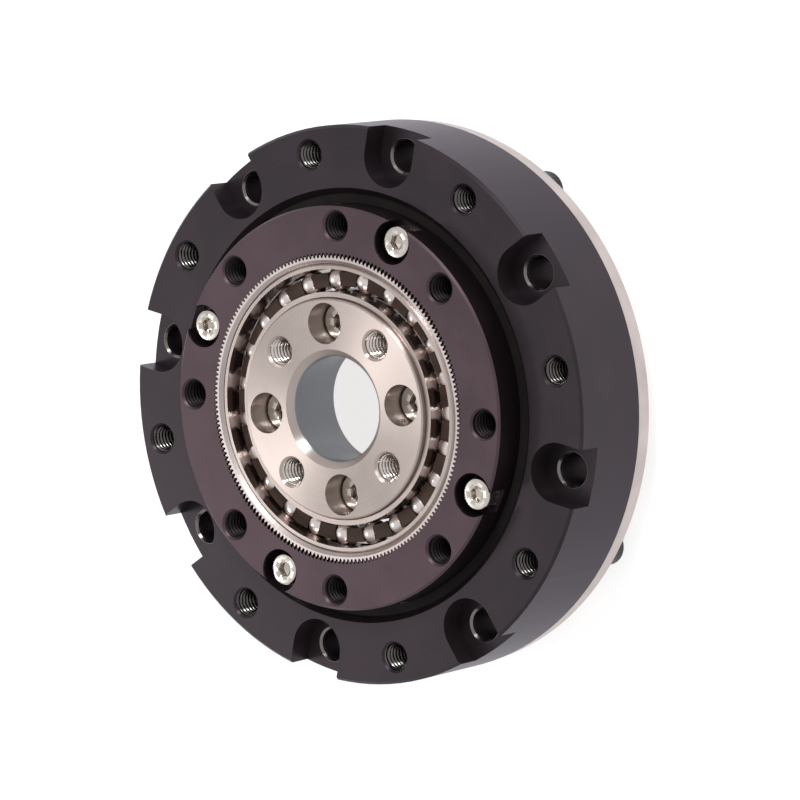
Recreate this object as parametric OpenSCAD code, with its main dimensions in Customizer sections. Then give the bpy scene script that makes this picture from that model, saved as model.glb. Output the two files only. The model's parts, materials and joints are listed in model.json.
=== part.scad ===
// Strain wave gear of the short hollow "silk hat" kind, one unit with its output bearing.
// Millimetres. +Z is the gear axis and points out of the output side. The origin is on the
// axis, in the rear mounting face of the flexspline's brim. The major axis of the wave is X.

/* [Wave generator] */
// Bore of the wave generator's plug
input_bore_d = 15; // [12:0.5:16]
// Radial wall of the plug between its bore and its bearing
plug_wall = 8.26; // [8.1:0.02:9.5]
// Distance from the bore's wall to the circle of the plug's screws and tapped holes
plug_hole_inset = 4.7; // [4.5:0.1:5]
// How far the plug's face stands out past the output face
plug_proud = 0.45; // [0:0.05:1]
// Chamfer at the front edge of the plug's bore
bore_chamfer = 1; // [0.3:0.1:1.3]
// Depth of the plug's screw heads under its face
plug_head_sink = 3.5; // [3:0.1:3.8]
// Axial thickness of the plate behind the plug
retainer_t = 3; // [2.5:0.1:3.5]
// Radial step from the plug's bore to the plate's bore
retainer_bore_step = 1; // [0.5:0.1:1.5]
// How far the plate reaches over the bearing's inner ring
retainer_lap = 0.5; // [0.3:0.05:0.6]
// Number of the plug's screws, and of the tapped holes between them
plug_screw_count = 4; // [3:1:4]
// Turn of the plug's screws from the major axis
plug_screw_turn = 39.9; // [0:0.1:90]

/* [Flexible bearing] */
// Axial width of a ring on each side of its balls
race_side = 1.7; // [1.6:0.05:2]
// How far the rings' front faces sit behind the output face
race_sink = 0.3; // [0.2:0.05:0.5]
// Width of the broken front edges of the plug and of the inner ring's bore
edge_break = 0.2; // [0.1:0.05:0.3]
// Width of the broken front edge of the outer ring's rim
race_rim_break = 0.3; // [0.1:0.05:0.4]
// Thickness of the inner ring at its shoulders
inner_race_wall = 0.89; // [0.8:0.01:1.2]
// Depth of the ball track in each ring
race_track_depth = 0.305; // [0.25:0.005:0.35]
// Thickness of the outer ring at its shoulders
outer_race_wall = 0.78; // [0.75:0.01:1]
// Diameter of a ball
ball_d = 3.8; // [3.7:0.01:3.85]
// Number of balls
ball_count = 23; // [15:1:23]
// Turn of the first ball from the major axis
ball_turn = 3.3; // [0:0.1:15.6]
// Play between a ball and its track
ball_play = 0.03; // [0.02:0.01:0.06]
// Least radial gap between the cage and a ring
cage_play = 0.4; // [0.25:0.05:0.5]
// Axial thickness of the cage's closed ring behind the balls
cage_back = 1.1; // [0.9:0.05:1.3]
// How far the cage's blocks sit behind the rings' front faces
cage_sink = 1.9; // [0.3:0.05:2]
// Width of the open mouth in front of each ball
cage_mouth = 2; // [0.8:0.1:2.6]
// Play of a ball in its pocket
pocket_play = 0.1; // [0.05:0.01:0.12]

/* [Tooth engagement] */
// Teeth of the flexspline, an even number; the circular spline has two more
flex_teeth = 200; // [160:2:200]
// Radial gap between the tips of two teeth where the wave draws them apart
pass_play = 0.035; // [0.02:0.005:0.05]
// Axial length of the teeth
tooth_w = 8.5; // [8:0.1:9]
// Slope of a tooth's flank from the radial line
flank_angle = 22.5; // [20:0.5:25]
// How much narrower a tooth is than half the pitch
backlash = 0.05; // [0.04:0.01:0.08]
// Radial play between a tooth's tip and the other spline's root
tip_play = 0.03; // [0.02:0.005:0.04]

/* [Flexspline] */
// Thickness of the toothed rim under its teeth
rim_wall = 0.77; // [0.7:0.01:1]
// Width of the lead-in chamfer at the mouth of the rim
rim_lead_in = 0.5; // [0.2:0.05:0.6]
// Thickness of the flexible cup wall
cup_wall = 0.43; // [0.35:0.01:0.5]
// Radial step from the rim's bore out to the cup's bore
cup_step = 0.1; // [0.05:0.01:0.15]
// Thickness of the flexible diaphragm
diaphragm_t = 0.5; // [0.4:0.05:0.8]
// How far the diaphragm is set in from the rear face
diaphragm_inset = 1.6; // [1.2:0.1:1.8]
// Radius of the bend between cup and diaphragm
cup_bend_r = 1.2; // [0.8:0.1:1.6]
// Axial thickness of the clamped brim
brim_t = 3.5; // [3.3:0.1:5]
// Radial width of the clamped brim
brim_w = 8.4; // [8:0.1:8.6]
// Radial step from the housing's rim down to the brim's rim
brim_step = 0.2; // [0.1:0.05:0.4]
// Chamfer at the brim's rear edge
brim_chamfer = 0.8; // [0.3:0.1:1.2]

/* [Circular spline] */
// How far the output face stands out past the housing's front face
output_proud = 3.9; // [3.5:0.1:5]
// Axial thickness of the output flange
output_flange_t = 6.5; // [6.2:0.1:7]
// Chamfer at the output face's rim
output_rim_chamfer = 0.3; // [0.1:0.05:0.5]
// Outer diameter of the spigot that carries the rear part of the teeth
spigot_d = 48.8; // [48:0.1:49.4]
// Axial length of the spigot inside the bearing's inner ring
spigot_l = 2.7; // [2:0.1:3]
// Radial step from the inner ring's rim down to the output flange's rim
output_step = 0.9; // [0.9:0.05:1.2]
// Distance from the output flange's rim to its hole circle
output_hole_inset = 2.8; // [2.6:0.1:3]
// Distance from the output flange's rim to its screw circle
spline_screw_inset = 2.6; // [2.5:0.05:2.9]
// Number of holes for the driven part, an even number; half as many screws stand between them
output_hole_count = 8; // [4:2:8]
// Thread diameter of those holes
output_thread_d = 4; // [3:0.5:4]
// Solid metal left under those holes
output_hole_floor = 0.9; // [0.5:0.1:2]
// Turn of those holes from the major axis
output_hole_turn = 32.6; // [0:0.1:45]
// Depth of the spline's screw heads under the output face
spline_head_sink = 1; // [0.5:0.1:1.2]
// Radius of the recess round each of those heads
spline_recess_r = 3.1; // [2.6:0.05:3.2]

/* [Crossed roller bearing] */
// Radial wall of the inner ring from its bore to its rim
inner_ring_wall = 5.29; // [5.2:0.01:6.5]
// Axial land of the inner ring behind its roller track
inner_ring_land = 3.4; // [2:0.1:3.8]
// Radial gap between the inner ring and the housing
ring_gap = 0.6; // [0.5:0.05:0.8]
// Diameter of a crossed roller
roller_d = 2.5; // [2.2:0.05:2.6]
// How much shorter a roller is than its diameter
roller_shortening = 0.1; // [0.05:0.05:0.2]
// Play between a roller and each wall of its track
roller_play = 0.02; // [0.01:0.005:0.04]
// Thickness of the disc between two rollers
spacer_t = 0.5; // [0.4:0.05:0.8]
// Least play between a roller and a disc
spacer_play = 0.06; // [0.04:0.01:0.1]

/* [Housing ring] */
// Outer diameter of the housing ring
housing_d = 80; // [79:0.5:90]
// Axial thickness of the housing ring
housing_t = 13.8; // [13.5:0.1:16]
// Chamfer at the front edge of the housing's bore
housing_bore_chamfer = 0.8; // [0.3:0.1:1]
// Chamfer at the housing's front rim
housing_rim_chamfer = 0.4; // [0.1:0.1:0.8]
// Distance from the housing's rim to its hole circle
housing_hole_inset = 3.8; // [3.6:0.1:4]
// Number of through holes, and of tapped holes between them, an even number
housing_hole_count = 8; // [4:2:8]
// Diameter of the through holes
through_hole_d = 4.5; // [4.3:0.1:5]
// Width of the slot cut round each through hole
slot_w = 8.5; // [8:0.1:9]
// Depth of the slots from the front face
slot_depth = 3.9; // [3:0.1:4.2]
// Thread diameter of the front tapped holes
housing_thread_d = 4; // [3:0.5:5]
// Depth of the front tapped holes
housing_tap_depth = 7; // [5:0.1:7.4]
// Widening of a chamfered hole's mouth, on the radius
mouth_chamfer = 0.3; // [0.1:0.05:0.4]
// Diameter of the radial hole that the rollers are filled through
filling_hole_d = 5; // [4.6:0.1:5.4]
// Turn of the filling hole from the major axis
filling_hole_turn = 215.4; // [215:0.1:216]
// Depth of the filling plug's end under the housing's rim
filling_plug_sink = 0.2; // [0.1:0.05:0.5]
// Diameter of the pin that locks the filling plug
filling_pin_d = 1.5; // [1:0.1:2]

/* [Seal] */
// Axial width of the front seal
seal_w = 1.3; // [1:0.1:1.5]
// Axial gap from the inner ring to the seal
seal_stand_off = 0.3; // [0.2:0.05:0.5]
// Radial thickness of the seal's stiff outer part
seal_body = 0.7; // [0.5:0.05:0.9]
// Play of the seal's lip round the output flange
lip_play = 0.05; // [0.03:0.01:0.08]

/* [Screws] */
// Thread diameter of the brim's screws and of the plug's screws
m3_d = 3; // [2.8:0.1:3.2]
// How much less than its thread's diameter the radius of a screw's head is
head_trim = 0.25; // [0.2:0.05:0.3]
// Height of a screw hole's drilled end past the screw
tap_run_out = 0.8; // [0.5:0.1:1]
// Length of the brim's screws under the head
brim_screw_l = 8; // [6:0.5:8]
// Length of the plug's screws under the head
plug_screw_l = 4; // [3:0.5:4]
// Thread diameter of the spline's screws
spline_screw_d = 2.5; // [2:0.1:2.6]
// Length of the spline's screws under the head
spline_screw_l = 8; // [5:0.5:8]
// Diameter of the plug's tapped holes
plug_thread_d = 4; // [3:0.5:4]
// Play of a shank in a plain hole, on the radius
hole_play = 0.2; // [0.1:0.05:0.3]
// Play of a head in its counterbore, on the radius
head_play = 0.2; // [0.1:0.05:0.3]
// Radial play of one seated round piece in another
seat_play = 0.01; // [0.005:0.001:0.02]

/* [Hidden] */
$fn = 96;
eps = 0.01;
wave_points = 144;

// Cap screws: the head overhangs the thread by a little less than half its width and is as
// tall as the thread is wide
function head_r(d) = d - head_trim;
function socket_r(d) = 0.45 * d;
cut = 1;

// Radii from the bore out to the flexspline's teeth
bore_r = input_bore_d / 2;
plug_r = bore_r + plug_wall;
ball_track_r = ball_d / 2 + ball_play;
race_space = 2 * (ball_track_r - race_track_depth);
inner_race_bore_r = plug_r + seat_play;
inner_race_r = inner_race_bore_r + inner_race_wall;
outer_race_bore_r = inner_race_r + race_space;
outer_race_r = outer_race_bore_r + outer_race_wall;
ball_circle_r = inner_race_r + race_space / 2;
rim_bore_r = outer_race_r + seat_play;
cup_bore_r = rim_bore_r + cup_step;
flex_root_r = rim_bore_r + rim_wall;

// The wave pushes the rim out by wave_h on X and draws it in by as much on Y. The ring has two
// teeth more on the same pitch, so it is larger by one wave_h, and a tooth is as tall as lets
// it seat on X and pass on Y.
wave_h = (2 * flex_root_r + tip_play - pass_play) / (flex_teeth - 2);
tooth_h = 2 * wave_h + tip_play - pass_play;
flex_tip_r = flex_root_r + tooth_h;
flex_pitch_r = flex_root_r + tooth_h / 2;
ring_teeth = flex_teeth + 2;
ring_tip_r = flex_root_r + wave_h + tip_play;
ring_root_r = flex_tip_r + wave_h + tip_play;
tooth_mid_w = PI * flex_pitch_r / flex_teeth - backlash;

// Radii of the output and of the housing
spigot_r = spigot_d / 2;
inner_ring_bore_r = spigot_r + seat_play;
inner_ring_r = inner_ring_bore_r + inner_ring_wall;
output_r = inner_ring_r - output_step;
housing_bore_r = inner_ring_r + ring_gap;
track_r = (inner_ring_r + housing_bore_r) / 2;
housing_r = housing_d / 2;
brim_r = housing_r - brim_step;
housing_hole_r = housing_r - housing_hole_inset;
output_hole_r = output_r - output_hole_inset;
spline_screw_r = output_r - spline_screw_inset;
plug_hole_r = bore_r + plug_hole_inset;

// Heights
housing_z = brim_t;
housing_face_z = housing_z + housing_t;
output_face_z = housing_face_z + output_proud;
flange_z = output_face_z - output_flange_t;
track_side = roller_d + 2 * roller_play;
track_z = housing_z + housing_t / 2;
inner_ring_z = track_z - track_side / sqrt(2) - inner_ring_land;
tooth_z = output_face_z - tooth_w;
plug_face_z = output_face_z + plug_proud;
race_face_z = output_face_z - race_sink;
race_w = ball_d + 2 * race_side;
race_z = race_face_z - race_w;
ball_z = race_z + race_w / 2;
retainer_z = race_z - retainer_t;
plug_head_z = plug_face_z - plug_head_sink - m3_d;
spline_head_z = output_face_z - spline_head_sink - spline_screw_d;
seal_z = flange_z + seal_stand_off;

// The rollers' track is a square stood on its corner; as many rollers fill it as fit
roller_count = 2 * floor(PI * track_r / (roller_d + spacer_t + 2 * spacer_play));
roller_l = roller_d - roller_shortening;

// Turns of the holes and screws from the major axis. The slots and through holes stand between
// the housing's tapped holes, and a brim screw stands behind every second tapped hole.
slot_turn = 180 / housing_hole_count;
brim_screw_count = housing_hole_count / 2;
spline_screw_count = output_hole_count / 2;
spline_screw_turn = output_hole_turn - 180 / output_hole_count;
plug_tap_turn = plug_screw_turn + 180 / plug_screw_count;

// Everything that the wave shapes, as a plan point at undeformed radius r and angle a
function on_wave(r, a) =
    let (turn = a - 90 / PI * wave_h / flex_pitch_r * sin(2 * a), out = r + wave_h * cos(2 * a))
    [out * cos(turn), out * sin(turn)];
function on_circle(r, a) = [r * cos(a), r * sin(a)];

// Half the angle that a tooth spans at height h over its middle, on pitch radius r
function half_tooth(r, h) = (tooth_mid_w / 2 - h * tan(flank_angle)) / r * 180 / PI;

// Corners of one tooth that points outwards, from root to tip to root
function tooth_corners(r) = [
    [r - tooth_h / 2, -half_tooth(r, -tooth_h / 2)],
    [r + tooth_h / 2, -half_tooth(r, tooth_h / 2)],
    [r + tooth_h / 2, half_tooth(r, tooth_h / 2)],
    [r - tooth_h / 2, half_tooth(r, -tooth_h / 2)]
];

module flex_outline() {
    polygon([for (i = [0:flex_teeth - 1], c = tooth_corners(flex_pitch_r))
        on_wave(c[0], 360 / flex_teeth * i + c[1])]);
}

// The teeth of the ring point inwards, and a space of the ring stands on the major axis
module ring_teeth_outline() {
    mid_r = (ring_tip_r + ring_root_r) / 2;
    polygon([for (i = [0:ring_teeth - 1], c = tooth_corners(mid_r))
        on_circle(2 * mid_r - c[0], 360 / ring_teeth * (i + 0.5) + c[1])]);
}

module wave_outline(r) {
    polygon([for (i = [0:wave_points - 1]) on_wave(r, 360 / wave_points * i)]);
}

// A disc on z = 0 whose rim carries the wave and whose top edge is broken
module wave_disc(r, h, edge = 0) {
    linear_extrude(h - edge) wave_outline(r);
    if (edge > 0) translate([0, 0, h - edge])
        linear_extrude(edge, slices = 1, scale = 1 - edge / r) wave_outline(r);
}

// What the broken edge of a bore on z = 0 takes away
module wave_edge(r, edge) {
    translate([0, 0, -edge])
        linear_extrude(edge + eps, slices = 1, scale = 1 + (edge + eps) / r) wave_outline(r);
}

// A bearing ring whose walls carry the wave; its ball track stays round, so that the balls run
module wave_race(in_r, out_r, in_edge, out_edge) {
    difference() {
        translate([0, 0, race_z]) wave_disc(out_r, race_w, out_edge);
        if (in_edge > 0) translate([0, 0, race_face_z]) wave_edge(in_r, in_edge);
        translate([0, 0, race_z - cut]) wave_disc(in_r, race_w + 2 * cut);
        rotate_extrude() translate([ball_circle_r, ball_z]) circle(r = ball_track_r);
    }
}

module at_turns(count, turn, r) {
    for (i = [0:count - 1]) rotate(turn + 360 / count * i) translate([r, 0, 0]) children();
}

// A drilled hole from its mouth at z = 0 down, with a chamfer at the mouth
module drilled_hole(d, depth) {
    translate([0, 0, -depth]) cylinder(d = d, h = depth + eps);
    translate([0, 0, -mouth_chamfer])
        cylinder(r1 = d / 2, r2 = d / 2 + mouth_chamfer + eps, h = mouth_chamfer + eps);
}

// A socket cap screw whose head stands on z = 0 and whose shank points down
module cap_screw(d, l) {
    r = head_r(d);
    edge = 0.08 * d;
    difference() {
        rotate_extrude()
            polygon([[0, -l], [d / 2 - edge, -l], [d / 2, edge - l], [d / 2, 0], [r, 0],
                [r, d - edge], [r - edge, d], [0, d]]);
        translate([0, 0, d / 2]) cylinder(r = socket_r(d), h = d, $fn = 6);
    }
}

module track_section() {
    translate([track_r, track_z]) rotate(45) square(track_side, center = true);
}

module housing_section() {
    difference() {
        polygon([
            [housing_bore_r, housing_z], [housing_r, housing_z],
            [housing_r, housing_face_z - housing_rim_chamfer],
            [housing_r - housing_rim_chamfer, housing_face_z],
            [housing_bore_r + housing_bore_chamfer, housing_face_z],
            [housing_bore_r, housing_face_z - housing_bore_chamfer]
        ]);
        track_section();
    }
}

module filling_bore(r) {
    rotate(filling_hole_turn) translate([0, 0, track_z]) rotate([0, 90, 0])
        cylinder(r = r, h = housing_r + cut);
}

module filling_pin_hole(r) {
    rotate(filling_hole_turn)
        translate([housing_hole_r, 0, housing_z - eps])
            cylinder(r = r, h = track_z + filling_hole_d / 4 - housing_z);
}

module outer_ring() {
    color([0.16, 0.14, 0.15]) difference() {
        rotate_extrude() housing_section();
        at_turns(housing_hole_count, slot_turn, housing_hole_r) {
            translate([0, 0, housing_face_z - slot_depth]) {
                drilled_hole(through_hole_d, housing_t);
                cylinder(d = slot_w, h = slot_depth + cut);
            }
            translate([0, -slot_w / 2, housing_face_z - slot_depth])
                cube([housing_hole_inset + cut, slot_w, slot_depth + cut]);
        }
        at_turns(housing_hole_count, 0, housing_hole_r)
            translate([0, 0, housing_face_z]) drilled_hole(housing_thread_d, housing_tap_depth);
        at_turns(brim_screw_count, 0, housing_hole_r)
            translate([0, 0, housing_z - eps])
                cylinder(r = m3_d / 2 + seat_play, h = brim_screw_l - brim_t + tap_run_out / 2);
        filling_bore(filling_hole_d / 2);
        filling_pin_hole(filling_pin_d / 2 + seat_play);
    }
}

module filling_plug() {
    color([0.3, 0.3, 0.31]) difference() {
        intersection() {
            filling_bore(filling_hole_d / 2 - seat_play);
            rotate_extrude() housing_section();
            cylinder(r = housing_r - filling_plug_sink, h = housing_face_z);
        }
        filling_pin_hole(filling_pin_d / 2 + seat_play);
    }
}

module filling_pin() {
    color([0.6, 0.6, 0.6]) intersection() {
        filling_pin_hole(filling_pin_d / 2);
        translate([0, 0, housing_z + tap_run_out / 4])
            cylinder(r = housing_r, h = track_z - housing_z);
    }
}

// The brim, the diaphragm and the bend that leads up into the cup
module brim_section() {
    bend_x = cup_bore_r + cup_wall + cup_step / 2 + cup_bend_r;
    floor_z = diaphragm_inset;
    top_z = floor_z + diaphragm_t;
    edge = 0.2;
    polygon([
        [brim_r - brim_w, 0], [brim_r - brim_chamfer, 0], [brim_r, brim_chamfer],
        [brim_r, brim_t - edge], [brim_r - edge, brim_t], [brim_r - brim_w, brim_t]
    ]);
    translate([bend_x, floor_z]) square([brim_r - brim_w - bend_x + eps, diaphragm_t]);
    intersection() {
        translate([bend_x, top_z + cup_bend_r]) difference() {
            circle(r = cup_bend_r + diaphragm_t);
            circle(r = cup_bend_r);
        }
        translate([0, floor_z]) square([bend_x + eps, cup_bend_r + diaphragm_t]);
    }
    translate([bend_x - cup_bend_r - diaphragm_t, top_z + cup_bend_r - eps])
        square([diaphragm_t, 1]);
}

module flexspline() {
    wall_z = diaphragm_inset + diaphragm_t + cup_bend_r + 0.5;
    wall_h = tooth_z + 0.5 - wall_z;
    push = wave_h * (wall_z + wall_h) / output_face_z;
    color([0.78, 0.76, 0.76]) {
        difference() {
            rotate_extrude() brim_section();
            at_turns(housing_hole_count, slot_turn, housing_hole_r)
                translate([0, 0, -cut]) cylinder(d = through_hole_d, h = brim_t + 2 * cut);
            at_turns(brim_screw_count, 0, housing_hole_r)
                translate([0, 0, -cut]) cylinder(r = m3_d / 2 + hole_play, h = brim_t + 2 * cut);
        }
        translate([0, 0, wall_z])
            linear_extrude(wall_h, slices = 1, scale = [1 + push / cup_bore_r, 1 - push / cup_bore_r])
                difference() {
                    circle(r = cup_bore_r + cup_wall);
                    circle(r = cup_bore_r);
                }
        difference() {
            translate([0, 0, tooth_z]) linear_extrude(tooth_w) difference() {
                flex_outline();
                wave_outline(rim_bore_r);
            }
            translate([0, 0, output_face_z]) wave_edge(rim_bore_r, rim_lead_in);
        }
    }
}

module circular_spline() {
    color([0.2, 0.17, 0.17]) difference() {
        rotate_extrude() polygon([
            [0, flange_z - spigot_l], [spigot_r, flange_z - spigot_l], [spigot_r, flange_z],
            [output_r, flange_z], [output_r, output_face_z - output_rim_chamfer],
            [output_r - output_rim_chamfer, output_face_z], [0, output_face_z]
        ]);
        translate([0, 0, flange_z - spigot_l - cut])
            linear_extrude(output_flange_t + spigot_l + 2 * cut) ring_teeth_outline();
        at_turns(output_hole_count, output_hole_turn, output_hole_r)
            translate([0, 0, output_face_z])
                drilled_hole(output_thread_d, output_flange_t - output_hole_floor);
        at_turns(spline_screw_count, spline_screw_turn, spline_screw_r) {
            translate([0, 0, spline_head_z]) cylinder(r = spline_recess_r, h = output_flange_t);
            translate([0, 0, flange_z - cut])
                cylinder(r = spline_screw_d / 2 + hole_play, h = output_flange_t);
        }
    }
}

module inner_ring() {
    edge = 0.3;
    color([0.62, 0.61, 0.6]) difference() {
        rotate_extrude() difference() {
            polygon([
                [inner_ring_bore_r, inner_ring_z], [inner_ring_r - edge, inner_ring_z],
                [inner_ring_r, inner_ring_z + edge], [inner_ring_r, flange_z - edge],
                [inner_ring_r - edge, flange_z], [inner_ring_bore_r, flange_z]
            ]);
            track_section();
        }
        at_turns(spline_screw_count, spline_screw_turn, spline_screw_r)
            translate([0, 0, spline_head_z - spline_screw_l - tap_run_out / 2])
                cylinder(r = spline_screw_d / 2 + seat_play, h = spline_screw_l + 2 * cut);
    }
}

module crossed_rollers() {
    color([0.75, 0.75, 0.76]) for (i = [0:roller_count - 1])
        rotate(360 / roller_count * i) translate([track_r, 0, track_z])
            rotate([0, i % 2 == 0 ? 45 : -45, 0]) cylinder(d = roller_d, h = roller_l, center = true);
}

module roller_spacers() {
    color([0.85, 0.82, 0.7]) for (i = [0:roller_count - 1])
        rotate(360 / roller_count * (i + 0.5)) translate([track_r, 0, track_z])
            rotate([90, 0, 0]) cylinder(d = roller_l, h = spacer_t, center = true);
}

module front_seal() {
    lip_r = output_r + lip_play;
    body_r = housing_bore_r - seal_body;
    lip_t = seal_w / 3;
    color([0.1, 0.1, 0.1]) rotate_extrude() polygon([
        [body_r, seal_z], [housing_bore_r - seat_play, seal_z],
        [housing_bore_r - seat_play, seal_z + seal_w], [lip_r, seal_z + seal_w],
        [lip_r, seal_z + seal_w - lip_t], [body_r, seal_z + seal_w - lip_t]
    ]);
}

module wave_plug() {
    back_chamfer = 0.7;
    color([0.8, 0.76, 0.74]) difference() {
        translate([0, 0, race_z]) wave_disc(plug_r, plug_face_z - race_z, edge_break);
        rotate_extrude() polygon([
            [0, race_z - cut], [bore_r + back_chamfer, race_z - cut],
            [bore_r + back_chamfer, race_z], [bore_r, race_z + back_chamfer],
            [bore_r, plug_face_z - bore_chamfer], [bore_r + bore_chamfer, plug_face_z],
            [bore_r + bore_chamfer, plug_face_z + cut], [0, plug_face_z + cut]
        ]);
        at_turns(plug_screw_count, plug_screw_turn, plug_hole_r) {
            translate([0, 0, plug_head_z]) cylinder(r = head_r(m3_d) + head_play, h = race_w);
            translate([0, 0, race_z - cut]) cylinder(r = m3_d / 2 + hole_play, h = race_w);
        }
        at_turns(plug_screw_count, plug_tap_turn, plug_hole_r)
            translate([0, 0, plug_face_z])
                drilled_hole(plug_thread_d, plug_face_z - race_z + cut);
    }
}

module wave_retainer() {
    color([0.7, 0.68, 0.67]) difference() {
        translate([0, 0, retainer_z]) wave_disc(plug_r + retainer_lap, retainer_t);
        translate([0, 0, retainer_z - cut])
            cylinder(r = bore_r + retainer_bore_step, h = retainer_t + 2 * cut);
        at_turns(plug_screw_count, plug_screw_turn, plug_hole_r)
            translate([0, 0, retainer_z - cut])
                cylinder(r = m3_d / 2 + seat_play, h = retainer_t + 2 * cut);
    }
}

module wave_bearing_inner_ring() {
    color([0.8, 0.77, 0.74]) wave_race(inner_race_bore_r, inner_race_r, edge_break, 0);
}

module wave_bearing_outer_ring() {
    color([0.76, 0.72, 0.69]) wave_race(outer_race_bore_r, outer_race_r, 0, race_rim_break);
}

module wave_bearing_balls() {
    color([0.9, 0.9, 0.9]) at_turns(ball_count, ball_turn, ball_circle_r)
        translate([0, 0, ball_z]) sphere(d = ball_d);
}

module ball_cage() {
    cage_wall = race_space - 2 * (wave_h + cage_play);
    pocket_r = ball_d / 2 + pocket_play;
    back_z = ball_z - pocket_r - cage_back;
    color([0.3, 0.27, 0.22]) difference() {
        translate([0, 0, back_z]) rotate_extrude()
            translate([ball_circle_r - cage_wall / 2, 0])
                square([cage_wall, race_face_z - cage_sink - back_z]);
        at_turns(ball_count, ball_turn, ball_circle_r) translate([0, 0, ball_z]) {
            sphere(r = pocket_r);
            translate([-cage_wall, -cage_mouth / 2, 0]) cube([2 * cage_wall, cage_mouth, race_w]);
        }
    }
}

module spline_screw(i) {
    color([0.82, 0.8, 0.78]) rotate(spline_screw_turn + 360 / spline_screw_count * i)
        translate([spline_screw_r, 0, spline_head_z]) cap_screw(spline_screw_d, spline_screw_l);
}

module plug_screw(i) {
    color([0.82, 0.8, 0.78]) rotate(plug_screw_turn + 360 / plug_screw_count * i)
        translate([plug_hole_r, 0, plug_head_z]) cap_screw(m3_d, plug_screw_l);
}

module brim_screw(i) {
    color([0.12, 0.12, 0.13]) rotate(360 / brim_screw_count * i)
        translate([housing_hole_r, 0, 0]) rotate([180, 0, 0]) cap_screw(m3_d, brim_screw_l);
}

outer_ring();
filling_plug();
filling_pin();
front_seal();
flexspline();
circular_spline();
inner_ring();
crossed_rollers();
roller_spacers();
wave_plug();
wave_retainer();
wave_bearing_inner_ring();
wave_bearing_outer_ring();
wave_bearing_balls();
ball_cage();
for (i = [1:brim_screw_count])
    brim_screw(i - 1);
for (i = [1:spline_screw_count])
    spline_screw(i - 1);
for (i = [1:plug_screw_count])
    plug_screw(i - 1);
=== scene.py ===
"""Looks of the strain wave gear: camera, finishes, threads, screws, floor and light.

Lengths are in metres and angles in degrees, but a name that ends in mm is in millimetres, and
so are a point's radius and height in the shader sums. Z is the gear's axis and points out of
the output side.
"""

import json
import math

import bmesh
import bpy
from mathutils import Matrix, Vector


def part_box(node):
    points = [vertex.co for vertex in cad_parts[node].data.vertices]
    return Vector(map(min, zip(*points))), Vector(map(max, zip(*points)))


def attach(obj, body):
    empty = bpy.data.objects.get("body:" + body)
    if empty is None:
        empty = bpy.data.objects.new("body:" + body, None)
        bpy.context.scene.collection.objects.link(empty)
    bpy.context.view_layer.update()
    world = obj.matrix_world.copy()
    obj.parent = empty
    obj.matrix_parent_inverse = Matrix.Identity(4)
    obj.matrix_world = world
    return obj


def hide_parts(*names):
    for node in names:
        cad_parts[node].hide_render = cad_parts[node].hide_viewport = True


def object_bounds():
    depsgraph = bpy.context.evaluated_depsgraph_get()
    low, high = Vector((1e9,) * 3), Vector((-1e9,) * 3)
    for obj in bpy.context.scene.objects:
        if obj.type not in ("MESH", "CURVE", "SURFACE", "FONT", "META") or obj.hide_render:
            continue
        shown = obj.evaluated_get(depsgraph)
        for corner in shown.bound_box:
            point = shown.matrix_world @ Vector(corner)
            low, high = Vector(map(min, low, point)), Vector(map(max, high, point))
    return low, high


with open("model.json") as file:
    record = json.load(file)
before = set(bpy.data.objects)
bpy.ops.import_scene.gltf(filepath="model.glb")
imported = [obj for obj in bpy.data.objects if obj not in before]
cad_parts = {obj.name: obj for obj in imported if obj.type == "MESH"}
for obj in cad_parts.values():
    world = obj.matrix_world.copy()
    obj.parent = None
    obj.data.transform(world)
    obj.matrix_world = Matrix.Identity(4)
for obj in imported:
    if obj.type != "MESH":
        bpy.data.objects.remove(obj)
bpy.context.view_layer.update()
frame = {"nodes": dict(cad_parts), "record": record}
scene = bpy.context.scene
mounts = {mount["name"]: mount for mount in frame["record"]["mounts"]}

# ---------------------------------------------------------------- camera

EYE = Vector((0.29226, 0.29067, 0.53326))
RIGHT = Vector((0.667547, 0.430580, -0.607438))
UP = Vector((-0.603228, 0.790990, -0.102230))
SENSOR_MM = 36
FOCAL_MM = 209.1
NEAREST = 0.05
FARTHEST = 20

lens = bpy.data.cameras.new("camera")
lens.sensor_width = SENSOR_MM
lens.lens = FOCAL_MM
lens.clip_start = NEAREST
lens.clip_end = FARTHEST
camera = bpy.data.objects.new("camera", lens)
facing = Matrix((RIGHT, UP, RIGHT.cross(UP))).transposed()
camera.matrix_world = Matrix.Translation(EYE) @ facing.to_4x4()
scene.collection.objects.link(camera)
scene.camera = camera

# ---------------------------------------------------------------- shader sums

BUMP_DEPTH = 0.00002


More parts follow.
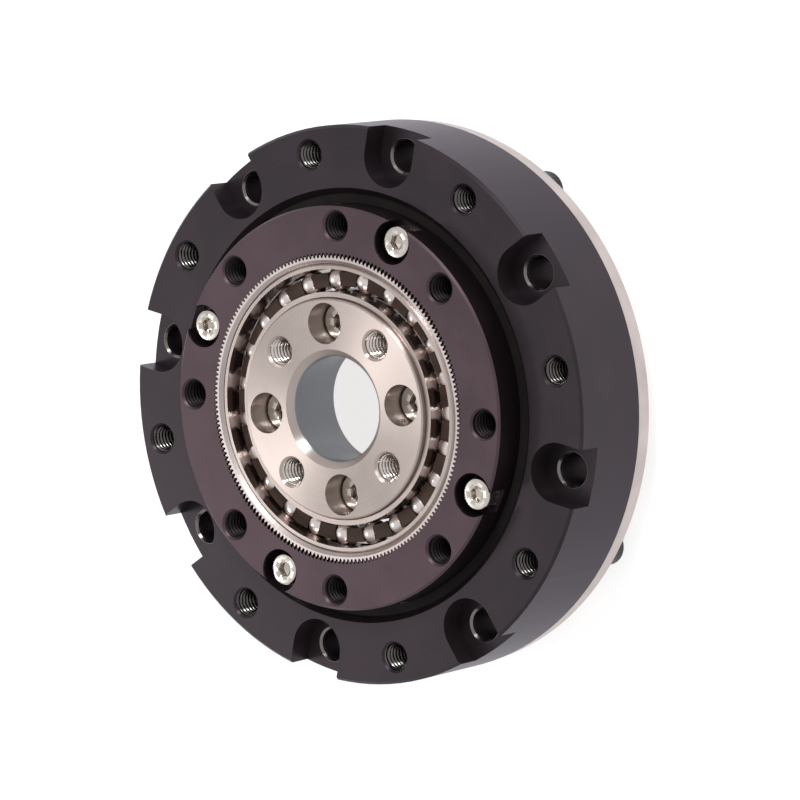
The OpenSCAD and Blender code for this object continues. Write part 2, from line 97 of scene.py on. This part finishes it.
class Value:
    """A shader socket that can stand in a Python expression."""

    def __init__(self, tree, socket):
        self.tree = tree
        self.socket = socket

    def make(self, kind, inputs, out=0, **settings):
        """Any other node, from its inputs by name or place."""
        node = self.tree.nodes.new("ShaderNode" + kind)
        for key, value in settings.items():
            setattr(node, key, value)
        for key, value in inputs.items():
            if isinstance(value, Value):
                self.tree.links.new(value.socket, node.inputs[key])
            else:
                node.inputs[key].default_value = value
        return Value(self.tree, node.outputs[out])

    def math(self, operation, *others):
        return self.make("Math", dict(enumerate((self, *others))), operation=operation)

    def __add__(self, other):
        return self.math("ADD", other)

    def __sub__(self, other):
        return self.math("SUBTRACT", other)

    def __mul__(self, other):
        return self.math("MULTIPLY", other)

    def __truediv__(self, other):
        return self.math("DIVIDE", other)

    def __rsub__(self, other):
        return self * -1 + other

    __radd__ = __add__
    __rmul__ = __mul__

    def step(self, low, high):
        """0 below low, 1 above high, smooth between."""
        limits = {0: self, 1: low, 2: high}
        return self.make("MapRange", limits, interpolation_type="SMOOTHSTEP")

    def mix(self, a, b):
        """Colour a where this is 0, b where it is 1."""
        pair = {0: self}
        for key, value in ((6, a), (7, b)):
            pair[key] = value if isinstance(value, Value) else (*value, 1)
        return self.make("Mix", pair, out=2, data_type="RGBA")

    def noise(self, scale, detail=2.0, rough=0.5):
        settings = {"Vector": self, "Scale": scale, "Detail": detail, "Roughness": rough}
        return self.make("TexNoise", settings)


class Finish:
    """A material whose sums start from the place of each point."""

    def __init__(self, name):
        self.material = bpy.data.materials.new(name)
        self.material.use_nodes = True
        self.tree = self.material.node_tree
        self.shader = self.tree.nodes["Principled BSDF"]
        start = Value(self.tree, None)
        self.place = start.make("TexCoord", {}, out=3)
        split = self.place.make("SeparateXYZ", {0: self.place}).socket.node
        self.x, self.y, z = (Value(self.tree, split.outputs[i]) for i in range(3))
        self.z = z * 1000
        self.radius = (self.x * self.x + self.y * self.y).math("SQRT") * 1000

    def put(self, socket, value):
        """Link or set one socket of the shader."""
        if isinstance(value, Value):
            self.tree.links.new(value.socket, self.shader.inputs[socket])
        else:
            self.shader.inputs[socket].default_value = value

    def bump(self, height, strength):
        settings = {"Strength": strength, "Distance": BUMP_DEPTH, "Height": height}
        self.put("Normal", height.make("Bump", settings))

    def turning_marks(self, scale):
        """Noise that is the same all the way round, as a turning tool leaves it."""
        turned = self.radius.make("CombineXYZ", {0: self.radius, 1: self.z, 2: 0.0})
        return turned.noise(scale, 3.0, 0.7)

    def from_hole(self, circle_mm, first, between):
        """Distance from the axis of the nearest hole of a circle of holes."""
        angle = self.y.math("ARCTAN2", self.x) * math.degrees(1)
        turn = ((angle - first) / between + 0.5).math("FRACT") - 0.5
        toward = (turn * math.radians(between)).math("COSINE") * self.radius * (2 * circle_mm)
        return (self.radius * self.radius + circle_mm**2 - toward).math("SQRT")


def scaled(colour, k):
    return tuple(c * k for c in colour)


# ---------------------------------------------------------------- kinds of surface

# How often the tones and the grain repeat in a metre.
METAL_CLOUD = 140.0
METAL_SPECK = 3600.0
MOULDED_CLOUD = 260.0
MOULDED_GRAIN = 5200.0


def metal(name, dark, light, *, rough, marks, turning, metallic=1.0, spread=0.3):
    """Turned metal between two colours, with a cloudy tone and fine marks round the axis.

    marks is how strong the marks are, turning how many lie in a millimetre, and spread how
    far the roughness wanders.
    """
    f = Finish(name)
    cloud = f.place.noise(METAL_CLOUD, 3.0)
    fine = f.turning_marks(turning)
    speck = f.place.noise(METAL_SPECK, 2.0)
    f.colour = (cloud * 0.6 + fine * 0.4).step(0.32, 0.68).mix(dark, light)
    f.rough = (fine * 0.5 + speck * 0.3 + cloud * 0.2 - 0.5) * spread + rough
    f.put("Base Color", f.colour)
    f.put("Roughness", f.rough)
    f.put("Metallic", metallic)
    f.bump(fine * 0.8 + speck * 0.2, marks)
    return f


def moulded(name, dark, light, *, rough):
    """Moulded plastic or rubber: a dull skin with a fine grain."""
    f = Finish(name)
    cloud = f.place.noise(MOULDED_CLOUD, 3.0)
    grain = f.place.noise(MOULDED_GRAIN, 2.0)
    f.put("Base Color", (cloud * 0.7 + grain * 0.3).step(0.3, 0.7).mix(dark, light))
    f.put("Roughness", (grain - 0.5) * 0.25 + rough)
    f.put("Metallic", 0.0)
    f.bump(grain, 0.25)
    return f


# ---------------------------------------------------------------- black oxide

GREY_BLACK = (0.0245, 0.0195, 0.0205)
BROWN_BLACK = (0.0342, 0.02337, 0.02793)
FLANGE_BLACK = (0.078, 0.052, 0.060)
WORN_BARE = (0.22, 0.20, 0.19)
HOUSING_METALLIC = 0.5
SCREW_SEAT_MM = 13.4
HOLE_MOUTH_MM = 2.58


def make_housing_black():
    """Half gloss on the housing, worn bare round the bolt holes' mouths in the screw seats."""
    bolts = mounts["housing_bolts"]["dims"]
    between = 360 / bolts["count"]
    f = metal(
        "housing_black",
        GREY_BLACK,
        BROWN_BLACK,
        rough=0.36,
        marks=0.10,
        turning=4.0,
        metallic=HOUSING_METALLIC,
    )
    from_hole = f.from_hole(bolts["pcd_mm"] / 2, between / 2, between)
    at_mouth = 1 - from_hole.step(HOLE_MOUTH_MM - 0.02, HOLE_MOUTH_MM + 0.02)
    near_seat = f.z.step(SCREW_SEAT_MM - 0.9, SCREW_SEAT_MM - 0.4)
    above_seat = f.z.step(SCREW_SEAT_MM - 0.005, SCREW_SEAT_MM + 0.015)
    worn = at_mouth * near_seat * (1 - above_seat)
    f.put("Base Color", worn.mix(f.colour, WORN_BARE))
    f.put("Roughness", f.rough - worn * 0.16)
    f.put("Metallic", worn * (1 - HOUSING_METALLIC) + HOUSING_METALLIC)
    f.put("Coat Weight", 0.06)
    f.put("Coat Roughness", 0.2)
    f.put("Specular Tint", (0.64, 0.60, 0.72, 1.0))
    return f


def make_flange_black():
    """Brownish black on the output flange, with painted shade: darker below its face."""
    face_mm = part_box("circular_spline")[1].z * 1000
    dark = scaled(FLANGE_BLACK, 0.86)
    light = scaled(FLANGE_BLACK, 1.14)
    f = metal("flange_black", dark, light, rough=0.42, marks=0.10, turning=5.0, metallic=0.85)
    # Painted shade: below its face the flange gets a darker colour, standing in for the shade in
    # the gap to the housing and in its holes.
    on_face = f.z.step(face_mm - 0.4, face_mm - 0.32)
    f.put("Base Color", on_face.mix(scaled(FLANGE_BLACK, 0.4), f.colour))
    f.put("Coat Weight", 0.1)
    f.put("Coat Roughness", 0.3)
    return f


housing_black = make_housing_black()
flange_black = make_flange_black()
dark_screw = metal(
    "dark_screw",
    (0.030, 0.029, 0.031),
    (0.055, 0.052, 0.055),
    rough=0.40,
    marks=0.15,
    turning=5.0,
    metallic=0.6,
)
# Painted shade: the threads in the output flange's holes are coloured far darker than the flange
# they are cut in.
painted_shade_thread = metal(
    "painted_shade_thread",
    (0.012, 0.008, 0.009),
    (0.022, 0.016, 0.018),
    rough=0.5,
    marks=0.1,
    turning=5.0,
    metallic=0.6,
)

# ---------------------------------------------------------------- bare steel

STEEL = (0.525, 0.462, 0.445)
WARM_STEEL = (0.53, 0.455, 0.425)
RING_STEEL = (0.47, 0.40, 0.375)
# Painted shade: a darker, bluish grey for the walls of the bores.
BORE_PAINTED_SHADE = (0.24, 0.25, 0.27)
PLATE_BORE_STEP_MM = 1


def make_plug_steel():
    """Satin steel on the plug and the plate behind it, with painted shade: a darker, bluish grey
    on the walls of their bores.
    """
    bore_mm = mounts["input_bore"]["dims"]["r_mm"]
    plate_front_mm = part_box("wave_retainer")[1].z * 1000
    dark = scaled(WARM_STEEL, 0.93)
    light = scaled(WARM_STEEL, 1.07)
    f = metal("plug_steel", dark, light, rough=0.33, marks=0.14, turning=7.0)
    on_plate = 1 - f.z.step(plate_front_mm - 0.05, plate_front_mm + 0.05)
    radius = f.radius - on_plate * PLATE_BORE_STEP_MM
    # Painted shade on the bore walls of the plug and of the plate behind it.
    bore_shade_mask = 1 - radius.step(bore_mm + 0.05, bore_mm + 0.2)
    f.put("Base Color", bore_shade_mask.mix(f.colour, BORE_PAINTED_SHADE))
    f.put("Anisotropic", 0.85)
    f.put("Anisotropic Rotation", 0.25)
    return f


plug_steel = make_plug_steel()
cup_steel = metal(
    "cup_steel",
    scaled(STEEL, 0.86),
    scaled(STEEL, 1.12),
    rough=0.34,
    marks=0.12,
    turning=6.0,
)
ring_steel = metal(
    "ring_steel",
    scaled(RING_STEEL, 0.9),
    scaled(RING_STEEL, 1.1),
    rough=0.24,
    marks=0.08,
    turning=8.0,
)
roller_steel = metal(
    "roller_steel",
    (0.55, 0.55, 0.56),
    (0.66, 0.66, 0.67),
    rough=0.18,
    marks=0.05,
    turning=8.0,
)
ball_steel = metal(
    "ball_steel",
    (0.76, 0.69, 0.67),
    (0.84, 0.77, 0.75),
    rough=0.30,
    marks=0.02,
    turning=3.0,
    spread=0.1,
)
screw_steel = metal(
    "screw_steel",
    (0.54, 0.50, 0.45),
    (0.70, 0.65, 0.60),
    rough=0.24,
    marks=0.10,
    turning=5.0,
)
bare_thread = metal(
    "bare_thread",
    (0.10, 0.093, 0.09),
    (0.16, 0.15, 0.146),
    rough=0.2,
    marks=0.05,
    turning=5.0,
)
plug_thread = metal(
    "plug_thread",
    (0.60, 0.55, 0.52),
    (0.78, 0.72, 0.68),
    rough=0.11,
    marks=0.05,
    turning=5.0,
)

# ---------------------------------------------------------------- plastic and rubber


def make_cage_brown():
    """Brown plastic with a weak, warm shine."""
    f = moulded("cage_brown", (0.034, 0.020, 0.016), (0.066, 0.040, 0.031), rough=0.42)
    f.put("Specular IOR Level", 0.18)
    f.put("Specular Tint", (1.0, 0.84, 0.78, 1.0))
    return f


def make_seal_black():
    """Black rubber that hardly shines."""
    f = moulded("seal_black", (0.006, 0.004, 0.004), (0.012, 0.008, 0.008), rough=0.7)
    f.put("Specular IOR Level", 0.2)
    return f


cage_brown = make_cage_brown()
seal_black = make_seal_black()
spacer_cream = moulded("spacer_cream", (0.52, 0.47, 0.34), (0.66, 0.61, 0.47), rough=0.5)

# ---------------------------------------------------------------- finishes on the frame

FINISHES = {
    "outer_ring": housing_black,
    "filling_plug": housing_black,
    "filling_pin": screw_steel,
    "front_seal": seal_black,
    "flexspline": cup_steel,
    "circular_spline": flange_black,
    "inner_ring": roller_steel,
    "crossed_rollers": roller_steel,
    "roller_spacers": spacer_cream,
    "wave_plug": plug_steel,
    "wave_retainer": plug_steel,
    "wave_bearing_inner_ring": ring_steel,
    "wave_bearing_outer_ring": ring_steel,
    "wave_bearing_balls": ball_steel,
    "ball_cage": cage_brown,
}
for node, finish in FINISHES.items():
    mesh = frame["nodes"][node].data
    mesh.materials.clear()
    mesh.materials.append(finish.material)

# ---------------------------------------------------------------- pieces


def piece(name, rings, finish, body, place, smooth_above):
    """A skin through rings of points; a ring of one point closes it.

    Edges that bend by more than smooth_above degrees stay sharp.
    """
    bm = bmesh.new()
    rows = [[bm.verts.new(point) for point in points] for points in rings]
    for low, high in zip(rows, rows[1:]):
        count = max(len(low), len(high))
        for i in range(count):
            j = i + 1
            corners = []
            for row, k in ((low, i), (low, j), (high, j), (high, i)):
                corner = row[k % len(row)]
                if corner not in corners:
                    corners.append(corner)
            if len(corners) > 2:
                bm.faces.new(corners)
    bmesh.ops.recalc_face_normals(bm, faces=bm.faces)
    mesh = bpy.data.meshes.new(name)
    bm.to_mesh(mesh)
    bm.free()
    mesh.transform(place)
    mesh.materials.append(finish.material)
    thing = bpy.data.objects.new(name, mesh)
    scene.collection.objects.link(thing)
    for polygon in mesh.polygons:
        polygon.use_smooth = True
    mesh.set_sharp_from_angle(angle=math.radians(smooth_above))
    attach(thing, body)
    return thing


def on_circle(angle, radius, z, head_down=False):
    """The place at height z on a circle round the gear's axis, upside down if head_down."""
    place = Matrix.Rotation(math.radians(angle), 4, "Z") @ Matrix.Translation((radius, 0, z))
    return place @ Matrix.Rotation(math.pi, 4, "X") if head_down else place


def ring(radius_at, z, count):
    """Points round an axis at height z; radius_at gives the radius at each share of a turn."""
    points = []
    for i in range(count):
        turn = i / count
        angle = math.tau * turn
        radius = radius_at(turn)
        points.append((radius * math.cos(angle), radius * math.sin(angle), z))
    return points


# ---------------------------------------------------------------- threads of the tapped holes

TAP_PITCH = 0.0007
TAP_CREST = 0.55 * TAP_PITCH
TAP_RUN_IN = 0.6 * TAP_PITCH
TAP_RUN_OUT = 0.3 * TAP_PITCH
TAP_STEEPNESS = 1.15
TAP_PLAY = 0.000008
TAP_SIDES = 36
TAP_ROWS_IN_PITCH = 6


def tap_rings(hole_r, depth):
    """Rings down a tapped hole from its mouth at z = 0, drawn in at the thread's crest."""
    rings = []
    rows = int(depth / TAP_PITCH * TAP_ROWS_IN_PITCH)
    for k in range(rows + 1):
        z = -depth * k / rows
        fade = min(1.0, -z / TAP_RUN_IN, (z + depth) / TAP_RUN_OUT)

        def thread(turn):
            phase = (z / TAP_PITCH + turn) % 1.0
            ridge = max(0.0, 1.0 - abs(2 * phase - 1) * TAP_STEEPNESS)
            return hole_r - TAP_PLAY - TAP_CREST * fade * ridge

        rings.append(ring(thread, z, TAP_SIDES))
    return rings


def tapped_holes(name, mount, first, depth, finish, body, slot):
    """The threads in all the holes of one of the record's bolt patterns."""
    pattern = mounts[mount]["dims"]
    mouth = mounts[mount]["pos_m"][2]
    between = 360 / pattern["count"]
    rings = tap_rings(pattern["hole_r_mm"] / 1000, depth)
    for i in range(pattern["count"]):
        place = on_circle(first + between * i, pattern["pcd_mm"] / 2000, mouth)
        piece(f"{name}_{i + 1}", rings, finish, body, place, smooth_above=180.0)


TAPPED_HOLES = (
    # threads, mount, angle of the first hole, depth, finish, body, slot
    ("housing_thread", "housing_tapped", 0, 0.0066, bare_thread, "housing", "black_oxide_steel"),
    ("output_thread", "output_bolts", 32.6, 0.0052, painted_shade_thread, "output", "black_oxide_iron"),
    ("plug_thread", "input_tapped", 84.9, 0.0075, plug_thread, "wave_generator", "plug_steel"),
)
for row in TAPPED_HOLES:
    tapped_holes(*row)

# ---------------------------------------------------------------- socket cap screws

SCREW_SIDES = 72
SCREW_ROWS_IN_PITCH = 5
SCREWS_IN_CIRCLE = 4
HEAD_PLAY = 0.00025
SHANK_PLAY = 0.00002
KNURL_SPACING = 3
EDGE_BREAK = 0.08  # width of a broken edge, for a thread diameter of 1


def circle(radius, z):
    return ring(lambda turn: radius, z, SCREW_SIDES)


def shank_rings(d, length):
    """Rings up a threaded shank from its tip to just below the head at z = 0."""
    edge = EDGE_BREAK * d
    pitch = 0.17 * d
    crest = 0.45 * pitch
    rings = [[(0, 0, -length)], circle(d / 2 - edge, -length)]
    rows = int((length - edge) / pitch * SCREW_ROWS_IN_PITCH)
    for k in range(rows + 1):
        z = -length + edge + (length - edge - SHANK_PLAY) * k / rows
        fade = min(1.0, k / 4, (rows - k) / 6)

        def thread(turn):
            return d / 2 - crest * fade * abs(2 * ((z / pitch - turn) % 1.0) - 1)

        rings.append(ring(thread, z, SCREW_SIDES))
    return rings


def head_rings(d):
    """Rings up a knurled head from z = 0, over its top and down into its hexagon socket."""
    edge = EDGE_BREAK * d
    head_r = d - HEAD_PLAY
    socket_r = 0.45 * d
    knurl = 0.035 * d
    flat = socket_r * math.cos(math.pi / 6)

    def knurled(turn):
        cut = round(turn * SCREW_SIDES) % KNURL_SPACING == 0
        return head_r - knurl if cut else head_r

    def hexagon(turn):
        return flat / math.cos((math.tau * turn) % (math.pi / 3) - math.pi / 6)

    return [
        circle(d / 2, 0),
        circle(head_r - 0.4 * edge, 0),
        circle(head_r, 0.4 * edge),
        circle(head_r, 1.2 * edge),
        ring(knurled, 1.6 * edge, SCREW_SIDES),
        ring(knurled, d - 1.9 * edge, SCREW_SIDES),
        circle(head_r, d - 1.5 * edge),
        circle(head_r - 0.15 * edge, d - 0.6 * edge),
        circle(head_r - 0.55 * edge, d - 0.15 * edge),
        circle(head_r - 1.1 * edge, d),
        circle(socket_r + 0.25 * edge, d),
        ring(hexagon, d - 0.5 * edge, SCREW_SIDES),
        ring(hexagon, 0.5 * d, SCREW_SIDES),
        circle(0.4 * socket_r, 0.38 * d),
        [(0, 0, 0.3 * d)],
    ]


def cap_screw(name, node, d, length, finish, body, slot, head_down):
    """A socket cap screw in the place of a CAD screw."""
    low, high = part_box(node)
    middle = (low + high) / 2
    angle = math.degrees(math.atan2(middle.y, middle.x))
    seat = low.z + d if head_down else high.z - d
    place = on_circle(angle, math.hypot(middle.x, middle.y), seat, head_down)
    rings = shank_rings(d, length) + head_rings(d)
    screw = piece(name, rings, finish, body, place, smooth_above=32.0)
    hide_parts(node)


SCREWS = (
    # place, thread diameter, length under the head, finish, body, slot, head down
    ("brim", 0.003, 0.008, dark_screw, "housing", "black_screw_steel", True),
    ("spline", 0.0025, 0.008, screw_steel, "output", "bright_screw_steel", False),
    ("plug", 0.003, 0.004, screw_steel, "wave_generator", "bright_screw_steel", False),
)
for kind, *details in SCREWS:
    for i in range(1, SCREWS_IN_CIRCLE + 1):
        cap_screw(f"{kind}_cap_screw_{i}", f"{kind}_screw_{i}", *details)

# ---------------------------------------------------------------- floor

FLOOR_REACH = 1.5
FLOOR_GAP = 0.00005
FLOOR_GLOW = 0.72

floor_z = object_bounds()[0].z
bm = bmesh.new()
bmesh.ops.create_grid(bm, x_segments=8, y_segments=8, size=FLOOR_REACH)
floor_mesh = bpy.data.meshes.new("floor")
bm.to_mesh(floor_mesh)
bm.free()
floor = bpy.data.objects.new("floor", floor_mesh)
floor.location.z = floor_z - FLOOR_GAP
scene.collection.objects.link(floor)
floor_white = Finish("floor_white")
cloud = floor_white.place.noise(3.0)
floor_white.put("Base Color", cloud.mix((0.46, 0.46, 0.46), (0.5, 0.5, 0.5)))
floor_white.put("Roughness", 0.8)
floor_white.put("Emission Color", (1.0, 1.0, 1.0, 1.0))
floor_white.put("Emission Strength", FLOOR_GLOW)
floor_mesh.materials.append(floor_white.material)

# ---------------------------------------------------------------- light

LIT_POINT = Vector((0, 0, 0.0217))
LAMPS = (
    # name, place, side, watts, colour
    ("key", (-0.403, -0.471, 0.528), 0.14, 0.56, (1.0, 0.985, 0.97)),
    ("fill", (-0.17, 0.60, 0.58), 0.18, 3.0, (0.97, 0.98, 1.0)),
)
WORLD_STRENGTH = 0.75

for name, place, side, watts, colour in LAMPS:
    light = bpy.data.lights.new(name, "AREA")
    light.shape = "SQUARE"
    light.size = side
    light.energy = watts
    light.color = colour
    lamp = bpy.data.objects.new(name, light)
    facing = (Vector(place) - LIT_POINT).to_track_quat("Z", "Y").to_matrix()
    lamp.matrix_world = Matrix.Translation(place) @ facing.to_4x4()
    scene.collection.objects.link(lamp)

world = bpy.data.worlds.new("studio")
world.use_nodes = True
scene.world = world
background = world.node_tree.nodes["Background"]
background.inputs["Color"].default_value = (1, 1, 1, 1)
background.inputs["Strength"].default_value = WORLD_STRENGTH

scene.view_settings.view_transform = "Standard"
